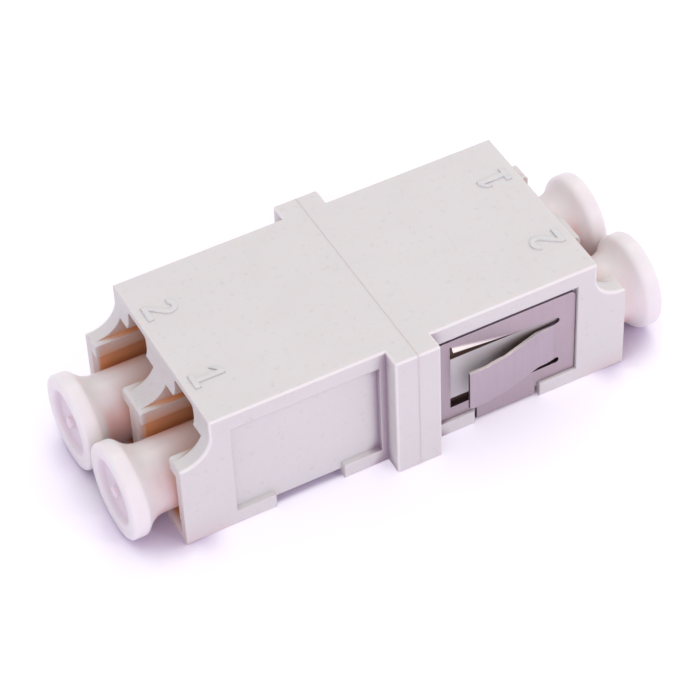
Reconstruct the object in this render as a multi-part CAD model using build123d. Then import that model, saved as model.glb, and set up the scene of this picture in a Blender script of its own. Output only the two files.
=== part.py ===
from build123d import *
import os
from math import atan2, cos, sin

# Duplex fibre adapter with a panel flange, a spring clip and four dust caps.
# Millimetres. X runs along the ports, Y across them, Z up. The origin is under the middle, on the ground.

# Ports, two side by side at each end
port_pitch = 6.25
port_width = 4.6
port_floor = 0.75
axis_height = port_floor + port_width / 2
port_roof = port_floor + port_width

# Housing, two equal mouldings welded face to face at X = 0
side_wall = 1.025
body_width = port_pitch + port_width + 2 * side_wall
body_height = 9.3
half_length = 14.85
top_setback = 2.05
top_length = half_length - top_setback
edge_radius = 0.18
weld_bevel = 0.02

# Panel flange, one half of it on each moulding
flange_half = 1.5
flange_reach = 1.25

# Inside the ports
mouth_bevel = 0.35
relief_reach = 0.42
relief_height = 0.9
top_wall = 0.45
ceiling = body_height - top_wall
latch_space = ceiling - port_roof
rail_share = 0.27
rail_top = port_roof + rail_share * latch_space
rail_reach = 0.4
lug_way_share = 0.33
rib_bottom = rail_top + lug_way_share * latch_space
latch_width = 2.6
latch_draft = 0.1
latch_corner = 0.3

# Scoop that cuts the walls back under the end of the top plate
nose_height = 1.2
ledge_length = 0.15
ledge_bevel = 0.12
scoop_reach = top_setback - ledge_length
scoop_rise = body_height - nose_height - rail_top

# Windows above the lug ways, where the latch lugs spring up behind the ribs
lock_start = 4.2
lock_length = 4.2
lock_top_wall = 0.8

# Barrier and the barrels that hold the alignment sleeves
barrier_half = 1.6
barrel_wall = 0.645
barrel_bevel = 0.2
lip_length = 0.5
lip_bore = 1.36
lip_mouth = 1.9

# Alignment sleeves
sleeve_outside = 1.6
sleeve_inside = 1.25
sleeve_length = 6.8
sleeve_slit = 0.25
sleeve_play = 0.03
seat_bore = sleeve_outside + 2 * sleeve_play
seat_half = sleeve_length / 2 + sleeve_play
barrel_end = seat_half + lip_length
barrel_diameter = seat_bore + 2 * barrel_wall

# Dowel pins and holes that line the two mouldings up before welding
pin_diameter = 0.9
pin_length = 0.7
pin_play = 0.04
pin_low = 2.4
pin_high = body_height - pin_low
pin_inset = 0.95
pin_root = 0.5

# Recess round the body for the spring clip
recess_start = flange_half + 0.4
recess_end = half_length - 3.35
recess_bottom = 1.15
recess_top = body_height - 1.2
recess_depth = 0.4
strap_start = recess_start + 2.77
strap_width = 4.04
strap_play = 0.25
channel_depth = 0.45
channel_corner = 0.15

# Spring clip, folded from one strip of sheet
sheet = 0.2
clip_play = 0.02
strap_gap = 0.18
plate_end_play = 0.06
plate_bottom = recess_bottom + 0.03
plate_top = recess_top - 0.4
plate_corner = 0.4
fold_radius = 0.12
strap_overlap = 0.5

# Window in each side plate, cut round the tongue, with a small hole at each end of the hinge
hinge_x = recess_end - 1.35
hole_diameter = 0.42
hole_low = plate_bottom + 1.25
hole_high = plate_top - 1.9
window_start = recess_start + 0.95
window_bottom = plate_bottom + 0.92
window_high = plate_top - 0.5
window_step_x = hinge_x - 3.2
window_step_high = window_high - 0.94

# Lip along the window's upper edge, bent outward more and more towards the flange
lip_start = window_start + 0.1
lip_out = 0.24
lip_drop = 0.22
lip_root = 0.05

# Two grooves in the right moulding behind each window, so that the tongue's edges stand clear of it
groove_margin = 0.2
groove_depth = 0.3
groove_low_top = hole_low + 0.2
groove_high_floor = hole_high + 0.14

# Tongue of the clip, bent out of the window
tongue_end_x = window_start + 0.7
tongue_high_end = window_high - 1.55
tongue_low_end = window_bottom + 0.6
tongue_out = 1.16
tongue_flat = 1.2
bend_length = 1.3

# Dust caps
cap_play = 0.1
cap_stem = port_width - 2 * cap_play
cap_gap = 0.19
cap_head = port_pitch - cap_gap
cap_stem_inner_end = barrel_end + 0.37
cap_neck_x = half_length + 1.2
cap_flare = 0.8
cap_neck_radius = 1.5
cap_rim = 1.0
cap_rim_radius = 0.22
cap_shoulder_radius = 0.5
cap_dish = 4.4
cap_dish_depth = 0.35
cap_dish_slope = 0.45
cap_dish_radius = 0.2
cap_nub = 0.75
cap_nub_height = 0.3
cap_nub_radius = 0.12
cap_bore = barrel_diameter + 0.25
cap_bore_depth = 7.5
cap_tip_bevel = 0.3

# How far a cut runs past the surface that it opens, and how close a corner lies to the line that it is on
overrun = 1.0
on_line = 0.01


def block(x0, x1, y0, y1, z0, z1):
    """A box between the given limits."""
    centre = Pos((x0 + x1) / 2, (y0 + y1) / 2, (z0 + z1) / 2)
    return centre * Box(x1 - x0, y1 - y0, z1 - z0)


def rod(x0, x1, y, z, diameter):
    """A round bar along X."""
    middle = Pos((x0 + x1) / 2, y, z) * Rot(0, 90, 0)
    return middle * Cylinder(diameter / 2, x1 - x0)


def cone(x0, x1, y, z, diameter0, diameter1):
    """A round bar along X whose diameter changes evenly from x0 to x1."""
    middle = Pos((x0 + x1) / 2, y, z) * Rot(0, 90, 0)
    return middle * Cone(diameter0 / 2, diameter1 / 2, x1 - x0)


def level(width, low, high):
    """One level of the port section, centred on the port."""
    return Pos(0, (low + high) / 2) * Rectangle(width, high - low)


def half_turn(shape):
    """The same shape turned about Z to the other end."""
    return Rot(0, 0, 180) * shape


def body_outline():
    """Side view of one moulding, with the scoop under the end of the top plate."""
    scoop_x = top_length + scoop_reach
    scoop_z = rail_top + scoop_rise
    floor = Polyline(
        (0, 0),
        (half_length, 0),
        (half_length, rail_top - ledge_bevel),
        (half_length - ledge_bevel, rail_top),
        (scoop_x, rail_top),
    )
    scoop = EllipticalCenterArc((scoop_x, scoop_z), scoop_reach, scoop_rise, 180, arc_size=90)
    roof = Polyline((top_length, scoop_z), (top_length, body_height), (0, body_height), (0, 0))
    return make_face(Plane.XZ * (floor + scoop + roof))


def port_section():
    """Section of one port: plug space, rails above it, way for the latch lugs, latch channel."""
    section = level(port_width, port_floor, port_roof)
    section += level(port_width + 2 * relief_reach, port_floor, port_floor + relief_height)
    section += level(port_width - 2 * rail_reach, port_roof, rail_top)
    section += level(port_width, rail_top, rib_bottom)
    channel = make_face(
        Polyline(
            (-latch_width / 2, rib_bottom),
            (latch_width / 2, rib_bottom),
            (latch_width / 2 - latch_draft, ceiling),
            (-latch_width / 2 + latch_draft, ceiling),
            close=True,
        )
    )
    section += fillet(channel.vertices().group_by(Axis.Y)[-1], latch_corner)
    return section


def port_space(y):
    """Everything that is cut away for one port."""
    length = half_length - barrier_half
    end_view = Plane(origin=(barrier_half, y, 0), x_dir=(0, 1, 0), z_dir=(1, 0, 0))
    space = extrude(end_view * port_section(), amount=length + overrun)
    half = port_width / 2
    lock_end = lock_start + lock_length
    lock_top = body_height - lock_top_wall
    space += block(lock_start, lock_end, y - half, y + half, rib_bottom, lock_top)
    inner = end_view.offset(length - mouth_bevel) * level(port_width, port_floor, port_roof)
    wide = port_width + 2 * mouth_bevel
    outer = end_view.offset(length) * level(wide, port_floor - mouth_bevel, port_roof)
    space += loft([inner.face(), outer.face()])
    return space


def barrel(y):
    """One half of a sleeve holder, standing out of the barrier."""
    straight = barrel_end - barrel_bevel
    tube = rod(barrier_half - overrun, straight, y, axis_height, barrel_diameter)
    tip = barrel_diameter - 2 * barrel_bevel
    return tube + cone(straight, barrel_end, y, axis_height, barrel_diameter, tip)


def sleeve_space(y):
    """Seat of the sleeve, and the funnel in the barrel's lip that guides a ferrule into it."""
    seat = rod(-overrun, seat_half, y, axis_height, seat_bore)
    return seat + cone(seat_half, barrel_end, y, axis_height, lip_bore, lip_mouth)


def clip_recess():
    """Shallow recess on both sides, joined by the strap channel under the body."""
    wall = body_width / 2
    deep = wall - recess_depth
    space = block(recess_start, recess_end, -wall - overrun, -deep, recess_bottom, recess_top)
    space += block(recess_start, recess_end, deep, wall + overrun, recess_bottom, recess_top)
    x0 = strap_start - strap_play
    x1 = strap_start + strap_width + strap_play
    space += block(x0, x1, -wall - overrun, -deep, -overrun, recess_bottom + overrun)
    space += block(x0, x1, deep, wall + overrun, -overrun, recess_bottom + overrun)
    channel = block(x0, x1, -wall - overrun, wall + overrun, -overrun, channel_depth)
    corner = channel_corner
    for side in (-1, 1):
        wedge = Polyline(
            (side * (deep + overrun), channel_depth - overrun),
            (side * (deep + overrun), channel_depth + corner + overrun),
            (side * (deep - corner - overrun), channel_depth - overrun),
            close=True,
        )
        end_view = Plane(origin=(x0, 0, 0), x_dir=(0, 1, 0), z_dir=(1, 0, 0))
        channel += extrude(end_view * make_face(wedge), amount=x1 - x0)
    return space + channel


def tongue_grooves():
    """Grooves in both recess floors, behind the lower and the upper edge of the clip's windows."""
    deep = body_width / 2 - recess_depth
    x0 = window_start - groove_margin
    x1 = hinge_x + groove_margin
    y0 = -deep - recess_depth / 2
    y1 = groove_depth - deep
    near_side = block(x0, x1, y0, y1, window_bottom - groove_margin, groove_low_top)
    near_side += block(x0, x1, y0, y1, groove_high_floor, window_high + groove_margin)
    return near_side + mirror(near_side, about=Plane.XZ)


def moulding():
    """One half of the housing, on the +X side of the weld."""
    wall = body_width / 2
    ear = wall + flange_reach
    shape = extrude(body_outline(), amount=wall, both=True)
    shape += block(0, flange_half, -ear, ear, 0, body_height)
    shape = fillet(outer_edges(shape), edge_radius)
    for y in (-port_pitch / 2, port_pitch / 2):
        shape -= port_space(y)
        shape += barrel(y)
        shape -= sleeve_space(y)
    shape -= clip_recess()
    shape = chamfer(weld_rim(shape), weld_bevel)
    pin_y = ear - pin_inset
    for z in (pin_low, pin_high):
        shape += rod(-pin_length, pin_root, pin_y, z, pin_diameter)
        shape -= rod(-overrun, pin_length + pin_play, -pin_y, z, pin_diameter + 2 * pin_play)
    return shape


def outer_edges(shape):
    """Long outer edges of the blank, along X, and the upright edges of the flange."""
    wall = body_width / 2
    ear = wall + flange_reach
    along = shape.edges().filter_by(Axis.X)
    upright = shape.edges().filter_by(Axis.Z)
    upright = [e for e in upright if abs(abs(e.center().Y) - ear) < on_line and e.center().X > on_line]
    across = shape.edges().filter_by(Axis.Y)
    across = [e for e in across if abs(e.center().X - flange_half) < on_line and abs(e.center().Y) > wall]
    return list(along) + upright + across


def weld_rim(shape):
    """Outline of the mating face."""
    face = shape.faces().filter_by(Axis.X).sort_by(Axis.X)[0]
    return face.outer_wire().edges()


def sleeve(y):
    """A ceramic tube with one slit along its top."""
    half = sleeve_length / 2
    tube = rod(-half, half, y, axis_height, sleeve_outside)
    tube -= rod(-half - overrun, half + overrun, y, axis_height, sleeve_inside)
    slit_half = sleeve_slit / 2
    top = axis_height + sleeve_outside
    return tube - block(-half - overrun, half + overrun, y - slit_half, y + slit_half, axis_height, top)


def plate_outline():
    """Side view of one side plate, with its window."""
    x0 = recess_start + plate_end_play
    x1 = recess_end - plate_end_play
    middle = Pos((x0 + x1) / 2, (plate_bottom + plate_top) / 2)
    plate = middle * Rectangle(x1 - x0, plate_top - plate_bottom)
    far_corner = plate.vertices().group_by(Axis.Y)[-1].sort_by(Axis.X)[-1]
    plate = fillet(far_corner, plate_corner)
    slit = make_face(
        Polyline(
            (window_start, window_bottom),
            (hinge_x, hole_low - hole_diameter / 2),
            (hinge_x, hole_high + hole_diameter / 2),
            (window_step_x, window_step_high),
            (window_start, window_high),
            close=True,
        )
    )
    slit += Pos(hinge_x, hole_low) * Circle(hole_diameter / 2)
    slit += Pos(hinge_x, hole_high) * Circle(hole_diameter / 2)
    return plate - slit


def lip(skin):
    """The lip above the window, a twisted strip that stands out most at its free end."""
    slope = (window_high - window_step_high) / (window_step_x - window_start)
    free_high = window_high - slope * (lip_start - window_start)
    free_end = lip_section(lip_start, skin, free_high, lip_drop, lip_out)
    root_end = lip_section(window_step_x, skin, window_step_high + lip_root, lip_root, 0)
    return loft([free_end, root_end], ruled=True)


def lip_section(x, skin, crease, drop, out):
    """Section of the lip across X, from just above its crease to its edge."""
    outer = skin + sheet
    top = crease + lip_root
    edge = crease - drop
    end_view = Plane(origin=(x, 0, 0), x_dir=(0, 1, 0), z_dir=(1, 0, 0))
    corners = Polyline((skin, top), (outer, top), (outer + out, edge), (skin + out, edge), close=True)
    return end_view * make_face(corners)


def tongue_outline():
    """Side view of the tongue, from beyond its free end to the plate behind its hinge."""
    root_x = hinge_x + hole_diameter
    root_high = hole_high - hole_diameter / 2
    root_low = hole_low + hole_diameter / 2
    return make_face(
        Polyline(
            (root_x, root_low),
            (root_x, root_high),
            (hinge_x, root_high),
            (tongue_end_x, tongue_high_end),
            (tongue_end_x, tongue_low_end),
            (hinge_x, root_low),
            close=True,
        )
    )


def tongue(skin):
    """The spring tongue, bent out from the plate whose inner face is at Y = skin."""
    flat_x = tongue_end_x + tongue_flat
    angle = atan2(tongue_out, hinge_x - bend_length - flat_x)
    radius = bend_length / sin(angle)
    tip_y = skin + tongue_out
    bend_rise = radius * (1 - cos(angle))
    root_bend_end = (hinge_x - bend_length, skin + bend_rise)
    tip_bend_start = (flat_x + bend_length, tip_y - bend_rise)
    path = Line((hinge_x + hole_diameter, skin), (hinge_x, skin))
    path += RadiusArc((hinge_x, skin), root_bend_end, -radius)
    path += Line(root_bend_end, tip_bend_start)
    path += RadiusArc(tip_bend_start, (flat_x, tip_y), radius)
    path += Line((flat_x, tip_y), (tongue_end_x, tip_y))
    strip = extrude(trace_outward(path), amount=body_height)
    side_view = Plane(origin=(0, skin - overrun, 0), x_dir=(1, 0, 0), z_dir=(0, -1, 0))
    window = extrude(side_view * tongue_outline(), amount=-(tongue_out + sheet + 2 * overrun))
    return strip & window


def trace_outward(path):
    """The sheet's section in plan, from its inner line to its outer face."""
    outer = Pos(0, sheet) * path
    ends = Line(path @ 0, outer @ 0) + Line(path @ 1, outer @ 1)
    return make_face(path.edges() + outer.edges() + ends.edges())


def clip():
    """The spring clip: two side plates with tongues, joined by a strap under the body."""
    skin = body_width / 2 - recess_depth + clip_play
    strap_top = channel_depth - strap_gap
    side_view = Plane(origin=(0, skin, 0), x_dir=(1, 0, 0), z_dir=(0, -1, 0))
    plate = extrude(side_view * plate_outline(), amount=-sheet)
    strap_end = strap_start + strap_width
    outer_y = skin + sheet
    outer_z = strap_top - sheet
    strap = block(strap_start, strap_end, 0, outer_y, outer_z, recess_bottom + strap_overlap)
    strap -= block(strap_start, strap_end, 0, skin, strap_top, body_height)
    folds = strap.edges().filter_by(Axis.X)
    outer_fold = [e for e in folds if abs(e.center().Y - outer_y) < on_line and e.center().Z < strap_top]
    strap = fillet(outer_fold, fold_radius + sheet)
    folds = [e for e in strap.edges().filter_by(Axis.X) if abs(e.center().Z - strap_top) < on_line]
    inner_fold = [e for e in folds if abs(e.center().Y - skin) < on_line]
    strap = fillet(inner_fold, fold_radius)
    one_side = plate + lip(skin) + tongue(skin) + strap
    return one_side + mirror(one_side, about=Plane.XZ)


def cap(y):
    """One dust cap on the +X side: stem with a blind bore, flare and dished head."""
    stem = cap_stem / 2
    head = cap_head / 2
    rim_x = cap_neck_x + cap_flare
    face_x = rim_x + cap_rim
    dish_x = face_x - cap_dish_depth
    bore_end = cap_stem_inner_end + cap_bore_depth
    outline = Polyline(
        (cap_stem_inner_end, cap_bore / 2),
        (cap_stem_inner_end, stem - cap_tip_bevel),
        (cap_stem_inner_end + cap_tip_bevel, stem),
        (cap_neck_x, stem),
        (rim_x, head),
        (face_x, head),
        (face_x, cap_dish / 2),
        (dish_x, cap_dish / 2 - cap_dish_slope),
        (dish_x, cap_nub / 2),
        (dish_x + cap_nub_height, cap_nub / 2),
        (dish_x + cap_nub_height, 0),
        (bore_end, 0),
        (bore_end, cap_bore / 2),
        close=True,
    )
    section = make_face(outline)
    section = fillet(corners_at(section, cap_neck_x, stem), cap_neck_radius)
    section = fillet(corners_at(section, rim_x, head), cap_shoulder_radius)
    section = fillet(corners_at(section, face_x, head), cap_rim_radius)
    section = fillet(corners_at(section, face_x, cap_dish / 2), cap_dish_radius)
    section = fillet(corners_at(section, dish_x, cap_dish / 2 - cap_dish_slope), cap_dish_radius)
    section = fillet(corners_at(section, dish_x, cap_nub / 2), cap_nub_radius)
    section = fillet(corners_at(section, dish_x + cap_nub_height, cap_nub / 2), cap_nub_radius)
    solid = revolve(Plane.XZ * section, axis=Axis.X)
    return Pos(0, y, axis_height) * solid


def corners_at(section, x, y):
    """The section's corners at a point."""
    return [v for v in section.vertices() if abs(v.X - x) < on_line and abs(v.Y - y) < on_line]


def save(shape, name):
    """Write one piece under its name."""
    shape.label = name
    export_step(shape, "parts/" + name + ".step")


os.makedirs("parts", exist_ok=True)
half = moulding()
save(half - tongue_grooves(), "housing_right")
save(half_turn(half), "housing_left")
save(clip(), "spring_clip")
sides = {"near": -port_pitch / 2, "far": port_pitch / 2}
for side, y in sides.items():
    save(sleeve(y), "sleeve_" + side)
    save(cap(y), "dust_cap_right_" + side)
    save(half_turn(cap(-y)), "dust_cap_left_" + side)
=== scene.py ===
import math

import bpy
from mathutils import Matrix, Vector


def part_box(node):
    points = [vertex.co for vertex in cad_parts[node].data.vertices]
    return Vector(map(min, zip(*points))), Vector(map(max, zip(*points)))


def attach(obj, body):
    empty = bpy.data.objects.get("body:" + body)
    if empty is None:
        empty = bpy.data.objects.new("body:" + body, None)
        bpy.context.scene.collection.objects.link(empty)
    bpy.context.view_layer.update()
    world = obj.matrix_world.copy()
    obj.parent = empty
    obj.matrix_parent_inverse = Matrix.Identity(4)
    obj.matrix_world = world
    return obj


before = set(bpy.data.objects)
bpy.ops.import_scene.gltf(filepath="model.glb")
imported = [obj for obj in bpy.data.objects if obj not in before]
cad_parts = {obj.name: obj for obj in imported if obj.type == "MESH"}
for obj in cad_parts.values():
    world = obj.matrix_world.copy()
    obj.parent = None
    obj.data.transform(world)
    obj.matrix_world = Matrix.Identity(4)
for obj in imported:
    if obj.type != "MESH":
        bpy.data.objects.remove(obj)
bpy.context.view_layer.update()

# A duplex fibre adapter on a white table: off-white mouldings, a sprung steel clip, four soft dust caps.
# Metres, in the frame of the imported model: X along the ports, Y across them, Z up.
# A pair of values is a limit with a soft edge: where it starts and where it ends.
MM = 0.001

# Camera, as the photograph was taken
PICTURE = 700
SENSOR = 36
VIEW_AZIMUTH = -26.59
VIEW_ELEVATION = 45.424
VIEW_ROLL = -2.441
VIEW_DISTANCE = 173.185 * MM
FOCAL_PIXELS = 2884.69
CENTRE_RIGHT = 7.188
CENTRE_DOWN = -19.98
NEAR_LIMIT = 10 * MM
FAR_LIMIT = 20
AIM = Vector((0, 0, 4.65 * MM))

# Colours, as linear values
HOUSING_COLOUR = (0.722, 0.712, 0.690, 1)
HOUSING_EDGE_HIGHLIGHT = (0.91, 0.885, 0.865, 1)
HOUSING_PAINTED_GLOW = (0.88, 0.44, 0.19, 1)
HOUSING_MOUTH_SHADE = (0.38, 0.25, 0.195, 1)
HOLLOW_SHADE = (0.46, 0.34, 0.40, 1)
FOOT_SHADE = (0.34, 0.24, 0.31, 1)
WELD_PAINTED_LIGHT = (0.80, 0.715, 0.68, 1)
POCKET_SHADE = (0.120, 0.062, 0.045, 1)
PAINTED_WARM_BOUNCE = (0.77, 0.45, 0.375, 1)
CAP_COLOUR = (0.855, 0.830, 0.825, 1)
CAP_EDGE_HIGHLIGHT = (0.93, 0.92, 0.91, 1)
CAP_PAINTED_GLOW = (0.86, 0.62, 0.50, 1)
CAP_STEM_GLOW = (0.70, 0.42, 0.36, 1)
CAP_DISH_SHADE = (0.66, 0.50, 0.60, 1)
STEEL_COLOUR = (0.484, 0.409, 0.455, 1)
STEEL_RECESSED_SHADE = (0.466, 0.388, 0.425, 1)
STEEL_CUT_HIGHLIGHT = (0.98, 0.94, 0.87, 1)
STEEL_SHADE = (0.14, 0.10, 0.14, 1)
CERAMIC_COLOUR = (0.86, 0.85, 0.80, 1)
CERAMIC_WARM = (0.78, 0.74, 0.64, 1)
SKY_HIGH = (1.0, 0.99, 0.985, 1)
SKY_LOW = (0.94, 0.87, 1.0, 1)
FLOOR_COLOUR = (0.90, 0.87, 0.96, 1)
FLOOR_SHADE = (0.42, 0.30, 0.50, 1)
WHITE = (1, 1, 1, 1)
KEY_COLOUR = (1.0, 0.985, 0.955)
FILL_COLOUR = (0.82, 0.66, 1.0)
GLINT_COLOUR = (1.0, 0.93, 0.82)

# How much each shade, tint and highlight covers what lies under it
HOLLOW_SHARE = 0.32
FOOT_SHARE = 0.85
POCKET_FLOOR_SHARE = 0.9
GROOVE_SHARE = 0.97
EDGE_HIGHLIGHT_SHARE = 0.35
RIM_HIGHLIGHT_SHARE = 0.75
STEM_GLOW_SHARE = 0.40
DISH_SHADE_SHARE = 0.45
CAP_EDGE_HIGHLIGHT_SHARE = 0.6
STEEL_EDGE_HIGHLIGHT_SHARE = 0.35
STEEL_CUT_SHADE_SHARE = 0.75
STEEL_HOLLOW_SHARE = 0.4
STEEL_HIGHLIGHT_SHARE = 0.95
CERAMIC_WARM_SHARE = 0.25
TABLE_SHARE = 0.45

# How far each mask of shaded places looks around, and the openness between which it fades out
INSIDE_REACH = 3.0 * MM
INSIDE_OPENNESS = (0.35, 0.95)
BLUSH_REACH = 3.0 * MM
BLUSH_OPENNESS = (0.25, 0.92)
HOLLOW_REACH = 0.5 * MM
HOLLOW_OPENNESS = (0.15, 0.65)
EDGE_OPENNESS = (0.75, 0.95)
FOOT_REACH = 1.0 * MM
FOOT_OPENNESS = (0.50, 0.98)
POCKET_REACH = 1.3 * MM
POCKET_OPENNESS = (0.30, 0.80)
TABLE_REACH = 3 * MM
TABLE_OPENNESS = (0.35, 0.95)
OPENNESS_SAMPLES = 8
BEVEL_SAMPLES = 6

# Noises, in waves per metre
GRAIN_WAVES = 26000.0
SPECK_WAVES = 2600.0
STREAK_WAVES = 620.0
CLOUD_WAVES = 260.0
ROLLING_WAVES = 6000.0
STEEL_CLOUD_WAVES = 520.0
PIT_WAVES = 5200.0
GRINDING_WAVES = 16000.0
CERAMIC_CLOUD_WAVES = 900.0

# Limits of the space inside the housing, where a warm glow and a brown shade are painted on the plastic
INSIDE_END = (14.4 * MM, 14.85 * MM)
INSIDE_WALL = (5.45 * MM, 5.6 * MM)
INSIDE_FLOOR = (0.45 * MM, 0.7 * MM)
INSIDE_ROOF = (8.86 * MM, 9.05 * MM)

# Where the rounded outer edges lie, which get a painted highlight: along the top but not on the numbers,
# down the sides, round the bottom
RIM_TOP = (8.95 * MM, 9.05 * MM)
ABOVE_RIM = (9.303 * MM, 9.33 * MM)
RIM_SIDE = (6.24 * MM, 6.32 * MM)
RIM_BOTTOM = (0.12 * MM, 0.22 * MM)
RIM_LEAN = (0.90, 0.999)

# The pocket behind the clip's windows, from the groove floors to the floor of the recess
POCKET_DEPTH = (5.55 * MM, 5.65 * MM)
GROOVE_TOP = (6.02 * MM, 6.04 * MM)
RECESS_FLOOR = (6.06 * MM, 6.08 * MM)
POCKET_START = (2.3 * MM, 2.5 * MM)
POCKET_END = (10.6 * MM, 10.9 * MM)
POCKET_BOTTOM = (1.70 * MM, 1.85 * MM)
POCKET_ROOF = (7.5 * MM, 7.7 * MM)

# The painted shade on the recess floor is lighter behind the tongue's free end, which stands off it, than
# towards its root
TONGUE_TIP = 3.0 * MM
TONGUE_ROOT = 6.5 * MM
SHADE_AT_TIP = 0.55

# Where the caps' stems leave the ports, with a warm glow painted for the light that comes back from inside
STEM_START = (12.8 * MM, 16.3 * MM)

# The dish in a cap's head, darkened with painted shade
AXIS_HEIGHT = 3.05 * MM
DISH_EDGE = (1.85 * MM, 2.25 * MM)
DISH_DEPTH = (17.2 * MM, 17.4 * MM)

# The clip: its lip lies above this height, and its lip and its cuts get a painted highlight where they
# stand out
LIP_HEIGHT = (5.9 * MM, 6.0 * MM)
STANDS_OUT = (6.28 * MM, 6.36 * MM)
CUT_SIDEWAYS = (0.25, 0.55)
CUT_UPWARD = (0.30, 0.55)

# The weld, whose bevel is shaded as if it were flat
WELD = (0.05 * MM, 0.08 * MM)

# The ends of the body, where a warm glow is painted in the hollows, and the flange's foot, where painted
# shade darkens them
BLUSH_START = (11.5 * MM, 12.8 * MM)
BLUSH_END = (15.9 * MM, 16.5 * MM)
FOOT_START = (1.45 * MM, 1.5 * MM)
FOOT_END = (2.1 * MM, 2.9 * MM)

# Where painted shade darkens the table under the object: beyond the ends of the body, and below it
SHADE_ENDS = (12.0 * MM, 14.0 * MM)
SHADE_BELOW = (5.9 * MM, 6.35 * MM)

# Table and sky
FLOOR_HALF = 3.0
FLOOR_GLOW = 0.27
FLOOR_ROUGHNESS = 0.9
SKY_STRENGTH = 0.83
SKY_RISE = (0.25, 0.85)

# Raised port numbers on the top plates
NUMBER_SIZE = 2.1 * MM
NUMBER_RISE = 0.10 * MM
NUMBER_SINK = 0.06 * MM
NUMBER_ROUND = 0.06 * MM
NUMBER_CENTRE = 11.2 * MM
NUMBER_STROKE = 0.18
PORT_Y = 3.125 * MM


# Shader node helpers

def new_material(name):
    """An empty node material with its Principled shader and output."""
    material = bpy.data.materials.new(name)
    material.use_nodes = True
    nodes = material.node_tree.nodes
    nodes.clear()
    output = nodes.new("ShaderNodeOutputMaterial")
    shader = nodes.new("ShaderNodeBsdfPrincipled")
    material.node_tree.links.new(shader.outputs["BSDF"], output.inputs["Surface"])
    return material, shader


def new_group(name, numbers, colours, outputs):
    """A shader node group with named number and colour inputs, and its inside input and output nodes."""
    tree = bpy.data.node_groups.new(name, "ShaderNodeTree")
    for label, value in numbers.items():
        socket = tree.interface.new_socket(label, in_out="INPUT", socket_type="NodeSocketFloat")
        socket.default_value = value
    for label, value in colours.items():
        socket = tree.interface.new_socket(label, in_out="INPUT", socket_type="NodeSocketColor")
        socket.default_value = value
    for label, kind in outputs.items():
        tree.interface.new_socket(label, in_out="OUTPUT", socket_type="NodeSocket" + kind)
    return tree, tree.nodes.new("NodeGroupInput"), tree.nodes.new("NodeGroupOutput")


def place_group(material, tree, **values):
    """The group placed in a material, with its own values; underscores stand for spaces."""
    node = material.node_tree.nodes.new("ShaderNodeGroup")
    node.node_tree = tree
    for label, value in values.items():
        node.inputs[label.replace("_", " ")].default_value = value
    return node


def add_node(tree, kind, settings=None, inputs=None):
    """A node with its settings made and its inputs set, or linked where the value is a socket."""
    node = tree.nodes.new("ShaderNode" + kind)
    for label, value in (settings or {}).items():
        setattr(node, label, value)
    for label, value in (inputs or {}).items():
        if isinstance(value, bpy.types.NodeSocket):
            tree.links.new(value, node.inputs[label])
        else:
            node.inputs[label].default_value = value
    return node


def math_node(tree, operation, first, second=0.0, clamp=False):
    """The output of one Math node."""
    node = add_node(tree, "Math", {"operation": operation, "use_clamp": clamp}, {0: first, 1: second})
    return node.outputs[0]


def plus(tree, first, second):
    """The sum of two values."""
    return math_node(tree, "ADD", first, second)


def minus(tree, first, second):
    """The first value less the second."""
    return math_node(tree, "SUBTRACT", first, second)


def opposite(tree, mask):
    """1 where a mask is 0, and 0 where it is 1."""
    return minus(tree, 1.0, mask)


def product(tree, *masks):
    """All the masks and shares multiplied together."""
    result = masks[0]
    for mask in masks[1:]:
        result = math_node(tree, "MULTIPLY", result, mask)
    return result


def largest(tree, *masks):
    """The largest of the masks."""
    result = masks[0]
    for mask in masks[1:]:
        result = math_node(tree, "MAXIMUM", result, mask)
    return result


def mix_colour(tree, factor, first, second, blend="MIX"):
    """The output of one colour Mix node, whose sockets share names and so are taken by number."""
    settings = {"data_type": "RGBA", "blend_type": blend}
    node = add_node(tree, "Mix", settings, {0: factor, 6: first, 7: second})
    return node.outputs[2]


def grey(tree, value):
    """A grey of that value."""
    parts = {"Red": value, "Green": value, "Blue": value}
    return add_node(tree, "CombineColor", None, parts).outputs["Color"]


def object_point(tree):
    """The point of the surface in the piece's own frame, in metres."""
    return add_node(tree, "TexCoord").outputs["Object"]


def place(tree):
    """The point's distance from the middle along X and across Y, its height, and its signed X."""
    parts = add_node(tree, "SeparateXYZ", None, {"Vector": object_point(tree)})
    along = math_node(tree, "ABSOLUTE", parts.outputs["X"])
    across = math_node(tree, "ABSOLUTE", parts.outputs["Y"])
    return along, across, parts.outputs["Z"], parts.outputs["X"]


def facing(tree):
    """The direction the surface faces in the piece's own frame, as three parts."""
    normal = add_node(tree, "TexCoord").outputs["Normal"]
    return add_node(tree, "SeparateXYZ", None, {"Vector": normal}).outputs


def stretch(tree, point, scale):
    """The point with each axis scaled, for a noise that runs along one of them."""
    return add_node(tree, "Mapping", None, {"Vector": point, "Scale": scale}).outputs["Vector"]


def noise(tree, point, scale, detail=3.0, roughness=0.5):
    """Fractal noise at a scale in waves per metre."""
    inputs = {"Vector": point, "Scale": scale, "Detail": detail, "Roughness": roughness}
    return add_node(tree, "TexNoise", None, inputs).outputs["Fac"]


def ramp(tree, value, low, high):
    """0 below low and 1 above high, smooth between them."""
    settings = {"interpolation_type": "SMOOTHSTEP"}
    inputs = {"Value": value, "From Min": low, "From Max": high}
    return add_node(tree, "MapRange", settings, inputs).outputs["Result"]


def between(tree, value, low, high, start=0.0, end=1.0):
    """A value that runs from start to end, spread evenly from low to high."""
    inputs = {"Value": value, "From Min": start, "From Max": end, "To Min": low, "To Max": high}
    return add_node(tree, "MapRange", None, inputs).outputs["Result"]


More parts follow.
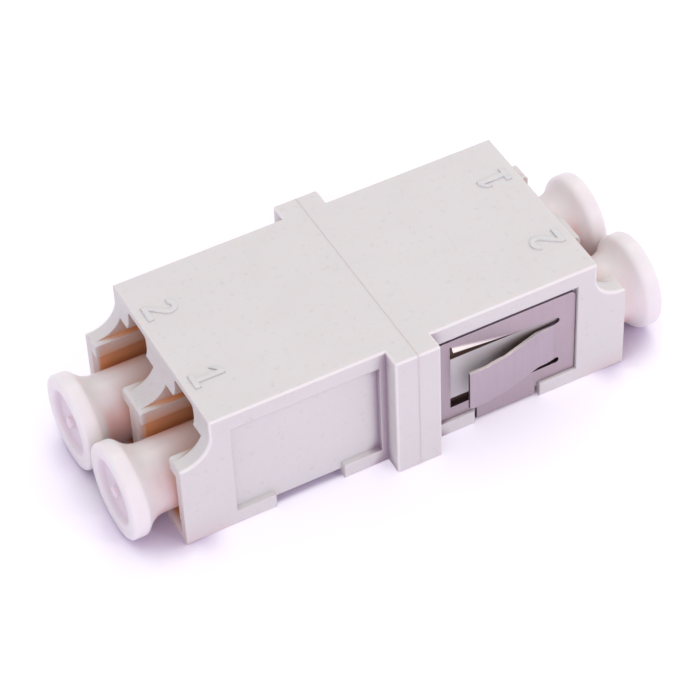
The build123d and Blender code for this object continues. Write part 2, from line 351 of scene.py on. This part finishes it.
def inside_limits(tree, value, low_limits, high_limits):
    """1 where a value lies between two limits, each given as the start and the end of its soft edge."""
    above = ramp(tree, value, *low_limits)
    below = opposite(tree, ramp(tree, value, *high_limits))
    return product(tree, above, below)


def openness(tree, reach):
    """1 where nothing stands near the surface and 0 where it is closed in, as far as reach."""
    settings = {"samples": OPENNESS_SAMPLES}
    return add_node(tree, "AmbientOcclusion", settings, {"Distance": reach}).outputs["AO"]


def shaded(tree, reach, limits):
    """A mask of the places that are closed in, fading out between the two limits of openness."""
    return opposite(tree, ramp(tree, openness(tree, reach), *limits))


def bump_from(tree, height, strength, distance, normal=None):
    """A Bump node's normal."""
    inputs = {"Height": height, "Strength": strength, "Distance": distance}
    if normal is not None:
        inputs["Normal"] = normal
    return add_node(tree, "Bump", None, inputs).outputs["Normal"]


# Effects that more than one material uses

def moulded_skin_group():
    """Spark-eroded grain, a few flecks, faint flow streaks and the cloudy colour of a moulded plastic."""
    cloud_spread = 0.03
    fleck_range = (0.58, 0.74)
    streak_range = (0.55, 0.85)
    streak_depth = 0.018
    streak_scale = (0.22, 1.0, 1.0)
    grain_height = 0.7
    speck_height = 0.5
    numbers = {"Grain": 1.0, "Grain size": 1.0, "Fleck": 0.05, "Roughness": 0.45, "Roughness spread": 0.08}
    outputs = {"Colour": "Color", "Roughness": "Float", "Height": "Float"}
    tree, given, result = new_group("moulded skin", numbers, {"Colour": HOUSING_COLOUR}, outputs)
    point = object_point(tree)
    size = given.outputs["Grain size"]
    grain = noise(tree, point, math_node(tree, "DIVIDE", GRAIN_WAVES, size), 2.0, 0.6)
    speck = noise(tree, point, math_node(tree, "DIVIDE", SPECK_WAVES, size), 3.0, 0.6)
    flow = noise(tree, stretch(tree, point, streak_scale), STREAK_WAVES, 2.0, 0.5)
    cloud = noise(tree, point, CLOUD_WAVES, 3.0, 0.55)
    shade = between(tree, cloud, 1 - cloud_spread, 1 + cloud_spread)
    fleck = product(tree, ramp(tree, speck, *fleck_range), given.outputs["Fleck"])
    streak = product(tree, ramp(tree, flow, *streak_range), streak_depth)
    tone = minus(tree, minus(tree, shade, fleck), streak)
    colour = mix_colour(tree, 1.0, given.outputs["Colour"], grey(tree, tone), "MULTIPLY")
    spread = product(tree, minus(tree, speck, 0.5), given.outputs["Roughness spread"])
    rough = plus(tree, given.outputs["Roughness"], product(tree, spread, 2.0))
    height = plus(tree, product(tree, grain, grain_height), product(tree, speck, speck_height))
    tree.links.new(colour, result.inputs["Colour"])
    tree.links.new(rough, result.inputs["Roughness"])
    tree.links.new(product(tree, height, given.outputs["Grain"]), result.inputs["Height"])
    return tree


def edge_group():
    """Masks of the rounded outer edges and of the hollows beside inner corners."""
    numbers = {"Radius": 0.1 * MM, "Width": 0.25, "Reach": HOLLOW_REACH}
    outputs = {"Edge": "Float", "Hollow": "Float", "Normal": "Vector"}
    tree, given, result = new_group("edges and hollows", numbers, {}, outputs)
    bevel = add_node(tree, "Bevel", {"samples": BEVEL_SAMPLES}, {"Radius": given.outputs["Radius"]})
    true_normal = add_node(tree, "NewGeometry").outputs["Normal"]
    normals = {0: bevel.outputs["Normal"], 1: true_normal}
    agreement = add_node(tree, "VectorMath", {"operation": "DOT_PRODUCT"}, normals).outputs["Value"]
    turned = math_node(tree, "DIVIDE", opposite(tree, agreement), given.outputs["Width"], clamp=True)
    around = openness(tree, given.outputs["Reach"])
    edge = product(tree, turned, ramp(tree, around, *EDGE_OPENNESS))
    hollow = opposite(tree, ramp(tree, around, *HOLLOW_OPENNESS))
    tree.links.new(edge, result.inputs["Edge"])
    tree.links.new(hollow, result.inputs["Hollow"])
    tree.links.new(bevel.outputs["Normal"], result.inputs["Normal"])
    return tree


def inside_group():
    """A mask of the shaded space inside the housing, 1 deep in the ports and 0 on the outer faces."""
    tree, given, result = new_group("inside the housing", {"Reach": INSIDE_REACH}, {}, {"Inside": "Float"})
    along, across, height, _ = place(tree)
    mask = product(
        tree,
        opposite(tree, ramp(tree, along, *INSIDE_END)),
        opposite(tree, ramp(tree, across, *INSIDE_WALL)),
        inside_limits(tree, height, INSIDE_FLOOR, INSIDE_ROOF),
        shaded(tree, given.outputs["Reach"], INSIDE_OPENNESS),
    )
    tree.links.new(mask, result.inputs["Inside"])
    return tree


def blush_group():
    """A mask of the hollows at both ends, for the painted warm light that comes back from the thin walls.
    """
    tree, given, result = new_group("blush", {"Reach": BLUSH_REACH}, {}, {"Blush": "Float"})
    along, _, _, _ = place(tree)
    ends = inside_limits(tree, along, BLUSH_START, BLUSH_END)
    mask = product(tree, ends, shaded(tree, given.outputs["Reach"], BLUSH_OPENNESS))
    tree.links.new(mask, result.inputs["Blush"])
    return tree


MOULDED_SKIN = moulded_skin_group()
EDGES = edge_group()
INSIDE = inside_group()
BLUSHES = blush_group()


# Materials

def flat_at_weld(tree, normal):
    """The normal without its lean along X at the weld."""
    along, _, _, _ = place(tree)
    keep = add_node(tree, "CombineXYZ", None, {"X": ramp(tree, along, *WELD), "Y": 1.0, "Z": 1.0})
    factors = {0: normal, 1: keep.outputs["Vector"]}
    upright = add_node(tree, "VectorMath", {"operation": "MULTIPLY"}, factors).outputs["Vector"]
    return add_node(tree, "VectorMath", {"operation": "NORMALIZE"}, {0: upright}).outputs["Vector"]


def shaded_plastic(
    name, skin_values, edge_values, painted_mouth_colour, painted_glow_colour, painted_glow_share, painted_bounce_share, grain
):
    """A moulded plastic with painted purple-brown shade in its hollows, painted warm light in the hollows
    at both ends, and painted shade and glow inside the housing, without its edges.
    """
    material, shader = new_material(name)
    tree = material.node_tree
    skin = place_group(material, MOULDED_SKIN, **skin_values)
    edge = place_group(material, EDGES, **edge_values)
    inside = place_group(material, INSIDE)
    blush = place_group(material, BLUSHES)
    warm = product(tree, inside.outputs["Inside"], painted_glow_share)
    outside = opposite(tree, warm)
    hollow = product(tree, edge.outputs["Hollow"], HOLLOW_SHARE, outside)
    colour = mix_colour(tree, hollow, skin.outputs["Colour"], HOLLOW_SHADE)
    # Painted warm light in the hollows at both ends
    colour = mix_colour(tree, product(tree, blush.outputs["Blush"], painted_bounce_share, outside), colour, PAINTED_WARM_BOUNCE)
    # Painted light inside the ports: brown painted shade towards the mouths, then a warm painted glow
    # deeper in
    colour = mix_colour(tree, warm, colour, painted_mouth_colour)
    colour = mix_colour(tree, product(tree, warm, warm), colour, painted_glow_colour)
    normal = flat_at_weld(tree, edge.outputs["Normal"])
    normal = bump_from(tree, skin.outputs["Height"], grain, 0.01 * MM, normal)
    tree.links.new(skin.outputs["Roughness"], shader.inputs["Roughness"])
    tree.links.new(normal, shader.inputs["Normal"])
    return material, shader, colour, edge


def let_light_in(shader, share, colour, depth):
    """How far light goes into a plastic, and how it comes out."""
    shader.inputs["Subsurface Weight"].default_value = share
    shader.inputs["Subsurface Radius"].default_value = colour
    shader.inputs["Subsurface Scale"].default_value = depth


def rim_mask(tree):
    """The long rounded outer edges, whose faces lean between two of the axes, for their painted highlight.
    """
    _, across, height, _ = place(tree)
    parts = facing(tree)
    straight = largest(tree, *[math_node(tree, "ABSOLUTE", parts[axis]) for axis in "XYZ"])
    leaning = opposite(tree, ramp(tree, straight, *RIM_LEAN))
    top = inside_limits(tree, height, RIM_TOP, ABOVE_RIM)
    side = ramp(tree, across, *RIM_SIDE)
    bottom = opposite(tree, ramp(tree, height, *RIM_BOTTOM))
    return product(tree, leaning, largest(tree, top, side, bottom))


def foot_mask(tree):
    """The shaded foot of the flange, where it stands on the body."""
    along, _, _, _ = place(tree)
    foot = inside_limits(tree, along, FOOT_START, FOOT_END)
    return product(tree, foot, shaded(tree, FOOT_REACH, FOOT_OPENNESS))


def pocket_masks(tree):
    """The grooves behind the clip's windows, and the recess floor between them where it is shaded."""
    _, across, height, signed = place(tree)
    region = product(
        tree,
        inside_limits(tree, signed, POCKET_START, POCKET_END),
        inside_limits(tree, height, POCKET_BOTTOM, POCKET_ROOF),
    )
    grooves = product(tree, region, inside_limits(tree, across, POCKET_DEPTH, GROOVE_TOP))
    floor = product(
        tree,
        region,
        inside_limits(tree, across, GROOVE_TOP, RECESS_FLOOR),
        shaded(tree, POCKET_REACH, POCKET_OPENNESS),
        between(tree, signed, SHADE_AT_TIP, 1.0, TONGUE_TIP, TONGUE_ROOT),
    )
    return grooves, floor


def housing_plastic():
    """Off-white moulded plastic that lets a little warm light through its thin walls, with painted shade at
    the flange's foot and behind the clip, painted highlights on its rounded edges, and painted light over
    the weld.
    """
    material, shader, colour, edge = shaded_plastic(
        "housing_plastic",
        skin_values={"Colour": HOUSING_COLOUR, "Fleck": 0.08},
        edge_values={"Radius": 0.12 * MM},
        painted_mouth_colour=HOUSING_MOUTH_SHADE,
        painted_glow_colour=HOUSING_PAINTED_GLOW,
        painted_glow_share=0.95,
        painted_bounce_share=0.30,
        grain=0.12,
    )
    tree = material.node_tree
    colour = mix_colour(tree, product(tree, foot_mask(tree), FOOT_SHARE), colour, FOOT_SHADE)
    grooves, floor = pocket_masks(tree)
    # Painted shade on the recess floor and in the grooves behind the clip's windows
    colour = mix_colour(tree, product(tree, floor, POCKET_FLOOR_SHARE), colour, POCKET_SHADE)
    colour = mix_colour(tree, product(tree, grooves, GROOVE_SHARE), colour, POCKET_SHADE)
    # Painted highlight on the rounded outer edges
    edge_highlight = product(tree, edge.outputs["Edge"], EDGE_HIGHLIGHT_SHARE)
    rim_highlight = product(tree, rim_mask(tree), RIM_HIGHLIGHT_SHARE)
    colour = mix_colour(tree, largest(tree, edge_highlight, rim_highlight), colour, HOUSING_EDGE_HIGHLIGHT)
    along, _, _, _ = place(tree)
    # Painted light: a paler, warmer colour over the weld's groove lifts the shade that falls in it
    colour = mix_colour(tree, opposite(tree, ramp(tree, along, *WELD)), colour, WELD_PAINTED_LIGHT)
    tree.links.new(colour, shader.inputs["Base Color"])
    shader.inputs["IOR"].default_value = 1.52
    let_light_in(shader, share=0.3, colour=(1.0, 0.62, 0.5), depth=0.5 * MM)
    return material


def dish_mask(tree):
    """The dish in a cap's head, round the cap's axis."""
    along, across, height, _ = place(tree)
    arm = {"X": minus(tree, across, PORT_Y), "Y": minus(tree, height, AXIS_HEIGHT)}
    arm = add_node(tree, "CombineXYZ", None, arm).outputs["Vector"]
    radius = add_node(tree, "VectorMath", {"operation": "LENGTH"}, {0: arm}).outputs["Value"]
    return product(tree, opposite(tree, ramp(tree, radius, *DISH_EDGE)), ramp(tree, along, *DISH_DEPTH))


def cap_plastic():
    """Soft, waxy, half-clear plastic of the dust caps, with a warm glow painted where the stems leave the
    ports, painted shade in the dish and a painted highlight on the edges.
    """
    material, shader, colour, edge = shaded_plastic(
        "cap_plastic",
        skin_values={
            "Colour": CAP_COLOUR, "Grain": 0.6, "Grain_size": 1.8, "Fleck": 0.02,
            "Roughness": 0.36, "Roughness_spread": 0.05,
        },
        edge_values={"Radius": 0.2 * MM, "Width": 0.3},
        painted_mouth_colour=CAP_PAINTED_GLOW,
        painted_glow_colour=CAP_PAINTED_GLOW,
        painted_glow_share=0.40,
        painted_bounce_share=0.8,
        grain=0.08,
    )
    tree = material.node_tree
    along, _, _, _ = place(tree)
    stem_glow = opposite(tree, ramp(tree, along, *STEM_START))
    # Painted warm glow on the stems where they leave the ports
    colour = mix_colour(tree, product(tree, stem_glow, STEM_GLOW_SHARE), colour, CAP_STEM_GLOW)
    # Painted shade in the dish of the cap's head
    colour = mix_colour(tree, product(tree, dish_mask(tree), DISH_SHADE_SHARE), colour, CAP_DISH_SHADE)
    # Painted highlight on the caps' rounded edges
    colour = mix_colour(tree, product(tree, edge.outputs["Edge"], CAP_EDGE_HIGHLIGHT_SHARE), colour, CAP_EDGE_HIGHLIGHT)
    tree.links.new(colour, shader.inputs["Base Color"])
    shader.inputs["IOR"].default_value = 1.5
    let_light_in(shader, share=0.75, colour=(1.0, 0.72, 0.7), depth=0.9 * MM)
    return material


def clip_steel():
    """Cold-rolled stainless sheet, satin along its grain, with a painted highlight on the sheared cuts and
    lip that stand out, and painted shade on its other cuts and hollows.
    """
    cloud_spread = 0.05
    grain_range = (0.55, 0.75)
    grain_depth = 0.02
    pit_range = (0.72, 0.8)
    pit_depth = 0.12
    rough_range = (0.36, 0.50)
    polish = 0.12
    plainness = 0.5
    material, shader = new_material("clip_steel")
    tree = material.node_tree
    point = object_point(tree)
    grain = noise(tree, stretch(tree, point, (1.0, 1.0, 0.05)), ROLLING_WAVES, 3.0, 0.6)
    cloud = noise(tree, point, STEEL_CLOUD_WAVES, 3.0, 0.55)
    pit = noise(tree, point, PIT_WAVES, 1.0, 0.5)
    edge = place_group(material, EDGES, Radius=0.04 * MM, Width=0.3, Reach=0.35 * MM)

    # Cuts that face up and stand out get a painted highlight, as the lip does, and the other cuts get
    # painted shade
    _, across, level, _ = place(tree)
    parts = facing(tree)
    sheared = opposite(tree, ramp(tree, math_node(tree, "ABSOLUTE", parts["Y"]), *CUT_SIDEWAYS))
    outside = ramp(tree, across, *STANDS_OUT)
    lit_cut = product(tree, sheared, outside, ramp(tree, parts["Z"], *CUT_UPWARD))
    lip = product(tree, ramp(tree, level, *LIP_HEIGHT), outside)
    cut_and_lip_highlight = largest(tree, lit_cut, lip)
    cut_shade = product(tree, sheared, opposite(tree, cut_and_lip_highlight))

    tone = between(tree, cloud, 1 - cloud_spread, 1 + cloud_spread)
    tone = minus(tree, tone, product(tree, ramp(tree, grain, *grain_range), grain_depth))
    tone = minus(tree, tone, product(tree, ramp(tree, pit, *pit_range), pit_depth))
    # Painted shade: the plate where it lies in the recess is darker and warmer than the parts that stand
    # out
    face = mix_colour(tree, opposite(tree, outside), STEEL_COLOUR, STEEL_RECESSED_SHADE)
    face = mix_colour(tree, 1.0, face, grey(tree, tone), "MULTIPLY")
    # Painted highlight on the rounded edges
    face = mix_colour(tree, product(tree, edge.outputs["Edge"], STEEL_EDGE_HIGHLIGHT_SHARE), face, STEEL_CUT_HIGHLIGHT)
    # Painted shade on the other cuts and in the hollows
    face = mix_colour(tree, product(tree, cut_shade, STEEL_CUT_SHADE_SHARE), face, STEEL_SHADE)
    face = mix_colour(tree, product(tree, edge.outputs["Hollow"], STEEL_HOLLOW_SHARE), face, STEEL_SHADE)
    # Painted highlight on the lit cuts and the lip
    face = mix_colour(tree, product(tree, cut_and_lip_highlight, STEEL_HIGHLIGHT_SHARE), face, STEEL_CUT_HIGHLIGHT)
    rough = minus(tree, between(tree, grain, *rough_range), product(tree, cut_and_lip_highlight, polish))
    metal = opposite(tree, product(tree, cut_and_lip_highlight, plainness))
    normal = bump_from(tree, grain, 0.06, 0.003 * MM, edge.outputs["Normal"])
    tree.links.new(face, shader.inputs["Base Color"])
    tree.links.new(rough, shader.inputs["Roughness"])
    tree.links.new(metal, shader.inputs["Metallic"])
    tree.links.new(normal, shader.inputs["Normal"])
    return material


def sleeve_ceramic():
    """Ground zirconia of the alignment sleeves."""
    rough_range = (0.16, 0.26)
    material, shader = new_material("sleeve_ceramic")
    tree = material.node_tree
    point = object_point(tree)
    grinding = noise(tree, stretch(tree, point, (1.0, 0.08, 0.08)), GRINDING_WAVES, 2.0, 0.5)
    cloud = noise(tree, point, CERAMIC_CLOUD_WAVES, 2.0, 0.5)
    colour = mix_colour(tree, product(tree, cloud, CERAMIC_WARM_SHARE), CERAMIC_COLOUR, CERAMIC_WARM)
    tree.links.new(colour, shader.inputs["Base Color"])
    tree.links.new(between(tree, grinding, *rough_range), shader.inputs["Roughness"])
    tree.links.new(bump_from(tree, grinding, 0.10, 0.003 * MM), shader.inputs["Normal"])
    shader.inputs["IOR"].default_value = 2.1
    return material


FINISHES = {
    "housing": housing_plastic(),
    "spring_clip": clip_steel(),
    "sleeve": sleeve_ceramic(),
    "dust_cap": cap_plastic(),
}


def dress_cad_nodes():
    """Gives each CAD node its finish."""
    for name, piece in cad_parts.items():
        finish = next(m for start, m in FINISHES.items() if name.startswith(start))
        piece.data.materials.clear()
        piece.data.materials.append(finish)


dress_cad_nodes()


# Raised port numbers, drawn in a square one unit high

def arc(centre, radius, start, end, steps=16):
    """Points along an arc, from one angle to another in degrees."""
    angles = [math.radians(start + (end - start) * step / steps) for step in range(steps + 1)]
    return [(centre[0] + radius * math.cos(a), centre[1] + radius * math.sin(a)) for a in angles]


def outline_of_one():
    """The 1, with its flag and its foot."""
    half = NUMBER_STROKE / 2
    foot = 0.27
    top = 0.5
    shoulder = 0.33
    lean = 0.02
    return [
        (-foot, -top), (foot, -top), (foot, NUMBER_STROKE - top), (half, NUMBER_STROKE - top),
        (half, top), (-half + lean, top), (-foot, shoulder), (-foot, shoulder - NUMBER_STROKE),
        (-half, shoulder), (-half, NUMBER_STROKE - top), (-foot, NUMBER_STROKE - top),
    ]


def outline_of_two():
    """The 2, an arc that runs down into a slanted stroke, and a foot."""
    centre = (0, 0.22)
    outer = 0.28
    half = 0.29
    bottom = -0.5
    foot = NUMBER_STROKE + bottom
    neck = -0.10
    drop = 0.03
    start, end = 170, -40
    return (
        arc(centre, outer, start, end)
        + [(neck, foot), (half, foot), (half, bottom), (-half, bottom), (-half, foot - drop)]
        + arc(centre, outer - NUMBER_STROKE, end, start)
    )


def raised_number(name, outline, centre, up):
    """One plain number standing up from the top face, its head pointing along up."""
    drawing = bpy.data.curves.new(name, "CURVE")
    drawing.dimensions = "2D"
    drawing.fill_mode = "BOTH"
    drawing.extrude = (NUMBER_RISE + NUMBER_SINK) / 2 - NUMBER_ROUND
    drawing.bevel_depth = NUMBER_ROUND
    drawing.bevel_resolution = 2
    drawing.offset = -NUMBER_ROUND
    line = drawing.splines.new("POLY")
    line.points.add(len(outline) - 1)
    for point, (x, y) in zip(line.points, outline):
        point.co = (x * NUMBER_SIZE, y * NUMBER_SIZE, 0, 1)
    line.use_cyclic_u = True
    drawn = bpy.data.objects.new(name + "_line", drawing)
    bpy.context.scene.collection.objects.link(drawn)
    bpy.context.view_layer.update()
    mesh = bpy.data.meshes.new_from_object(drawn.evaluated_get(bpy.context.evaluated_depsgraph_get()))
    bpy.data.objects.remove(drawn)
    turn = Matrix.Rotation(math.atan2(-up[0], up[1]), 4, "Z")
    lift = Vector((0, 0, (NUMBER_RISE - NUMBER_SINK) / 2))
    mesh.transform(Matrix.Translation(centre + lift) @ turn)
    piece = bpy.data.objects.new(name, mesh)
    bpy.context.scene.collection.objects.link(piece)
    mesh.materials.clear()
    mesh.materials.append(FINISHES["housing"])
    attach(piece, "adapter")


def port_numbers():
    """A number over each port, its head towards the flange."""
    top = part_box("housing_left")[1].z
    for end, side in (("left", -1), ("right", 1)):
        for digit, outline, across in (("1", outline_of_one(), -1), ("2", outline_of_two(), 1)):
            centre = Vector((side * NUMBER_CENTRE, -side * across * PORT_Y, top))
            raised_number("port_number_" + end + "_" + digit, outline, centre, (-side, 0))


port_numbers()


# Stage, lights and camera

def floor_white():
    """A white table that the camera sees as white, with the object's shadow on it, deepened by painted
    shade near the object.
    """
    material, shader = new_material("floor_white")
    tree = material.node_tree
    along, across, _, _ = place(tree)
    below = opposite(tree, ramp(tree, across, *SHADE_BELOW))
    near = largest(tree, ramp(tree, along, *SHADE_ENDS), below)
    # Painted shade on the table beyond the ends and under the body
    shade = product(tree, near, shaded(tree, TABLE_REACH, TABLE_OPENNESS))
    colour = mix_colour(tree, product(tree, shade, TABLE_SHARE), FLOOR_COLOUR, FLOOR_SHADE)
    path = add_node(tree, "LightPath")
    seen = math_node(tree, "ADD", path.outputs["Is Camera Ray"], path.outputs["Is Glossy Ray"], clamp=True)
    glow = product(tree, seen, opposite(tree, shade), FLOOR_GLOW)
    tree.links.new(colour, shader.inputs["Base Color"])
    tree.links.new(glow, shader.inputs["Emission Strength"])
    shader.inputs["Emission Color"].default_value = WHITE
    shader.inputs["Roughness"].default_value = FLOOR_ROUGHNESS
    shader.inputs["Specular IOR Level"].default_value = 0.0
    return material


def white_floor():
    """The table under the object."""
    mesh = bpy.data.meshes.new("floor")
    corners = [(x * FLOOR_HALF, y * FLOOR_HALF, 0) for x, y in ((-1, -1), (1, -1), (1, 1), (-1, 1))]
    mesh.from_pydata(corners, [], [(0, 1, 2, 3)])
    mesh.materials.append(floor_white())
    floor = bpy.data.objects.new("floor", mesh)
    bpy.context.scene.collection.objects.link(floor)


def sky():
    """A pale sky, lilac near the horizon, that the camera sees as white."""
    world = bpy.data.worlds.new("sky")
    bpy.context.scene.world = world
    world.use_nodes = True
    tree = world.node_tree
    background = tree.nodes["Background"]
    direction = add_node(tree, "TexCoord").outputs["Generated"]
    rise = add_node(tree, "SeparateXYZ", None, {"Vector": direction}).outputs["Z"]
    tint = mix_colour(tree, ramp(tree, rise, *SKY_RISE), SKY_LOW, SKY_HIGH)
    seen = add_node(tree, "LightPath").outputs["Is Camera Ray"]
    tree.links.new(mix_colour(tree, seen, tint, WHITE), background.inputs["Color"])
    strength = plus(tree, product(tree, seen, 1 - SKY_STRENGTH), SKY_STRENGTH)
    tree.links.new(strength, background.inputs["Strength"])


def softbox(name, where, size, power, colour):
    """A square lamp that looks at the object."""
    light = bpy.data.lights.new(name, "AREA")
    light.shape = "SQUARE"
    light.size = size
    light.energy = power
    light.color = colour
    lamp = bpy.data.objects.new(name, light)
    lamp.location = where
    lamp.rotation_euler = (AIM - Vector(where)).to_track_quat("-Z", "Y").to_euler()
    bpy.context.scene.collection.objects.link(lamp)


def photo_camera():
    """The camera at the photograph's viewpoint."""
    azimuth = math.radians(VIEW_AZIMUTH)
    elevation = math.radians(VIEW_ELEVATION)
    level = math.cos(elevation)
    back = Vector((math.sin(azimuth) * level, -math.cos(azimuth) * level, math.sin(elevation)))
    right = (-back).cross(Vector((0, 0, 1))).normalized()
    up = right.cross(-back)
    roll = math.radians(VIEW_ROLL)
    rolled_right = math.cos(roll) * right + math.sin(roll) * up
    rolled_up = math.cos(roll) * up - math.sin(roll) * right
    lens = bpy.data.cameras.new("camera")
    lens.sensor_width = SENSOR
    lens.lens = FOCAL_PIXELS / PICTURE * SENSOR
    lens.shift_x = -CENTRE_RIGHT / PICTURE
    lens.shift_y = CENTRE_DOWN / PICTURE
    lens.clip_start = NEAR_LIMIT
    lens.clip_end = FAR_LIMIT
    camera = bpy.data.objects.new("camera", lens)
    axes = Matrix((rolled_right, rolled_up, back)).transposed().to_4x4()
    camera.matrix_world = Matrix.Translation(AIM + back * VIEW_DISTANCE) @ axes
    bpy.context.scene.collection.objects.link(camera)
    bpy.context.scene.camera = camera


white_floor()
sky()
softbox("key", where=(0.16, 0.20, 0.34), size=0.20, power=0.20, colour=KEY_COLOUR)
softbox("fill", where=(-0.08, -0.43, 0.24), size=0.30, power=0.36, colour=FILL_COLOUR)
softbox("glint", where=(0.20, -0.36, 0.30), size=0.08, power=0.26, colour=GLINT_COLOUR)
photo_camera()
bpy.context.scene.view_settings.view_transform = "Standard"
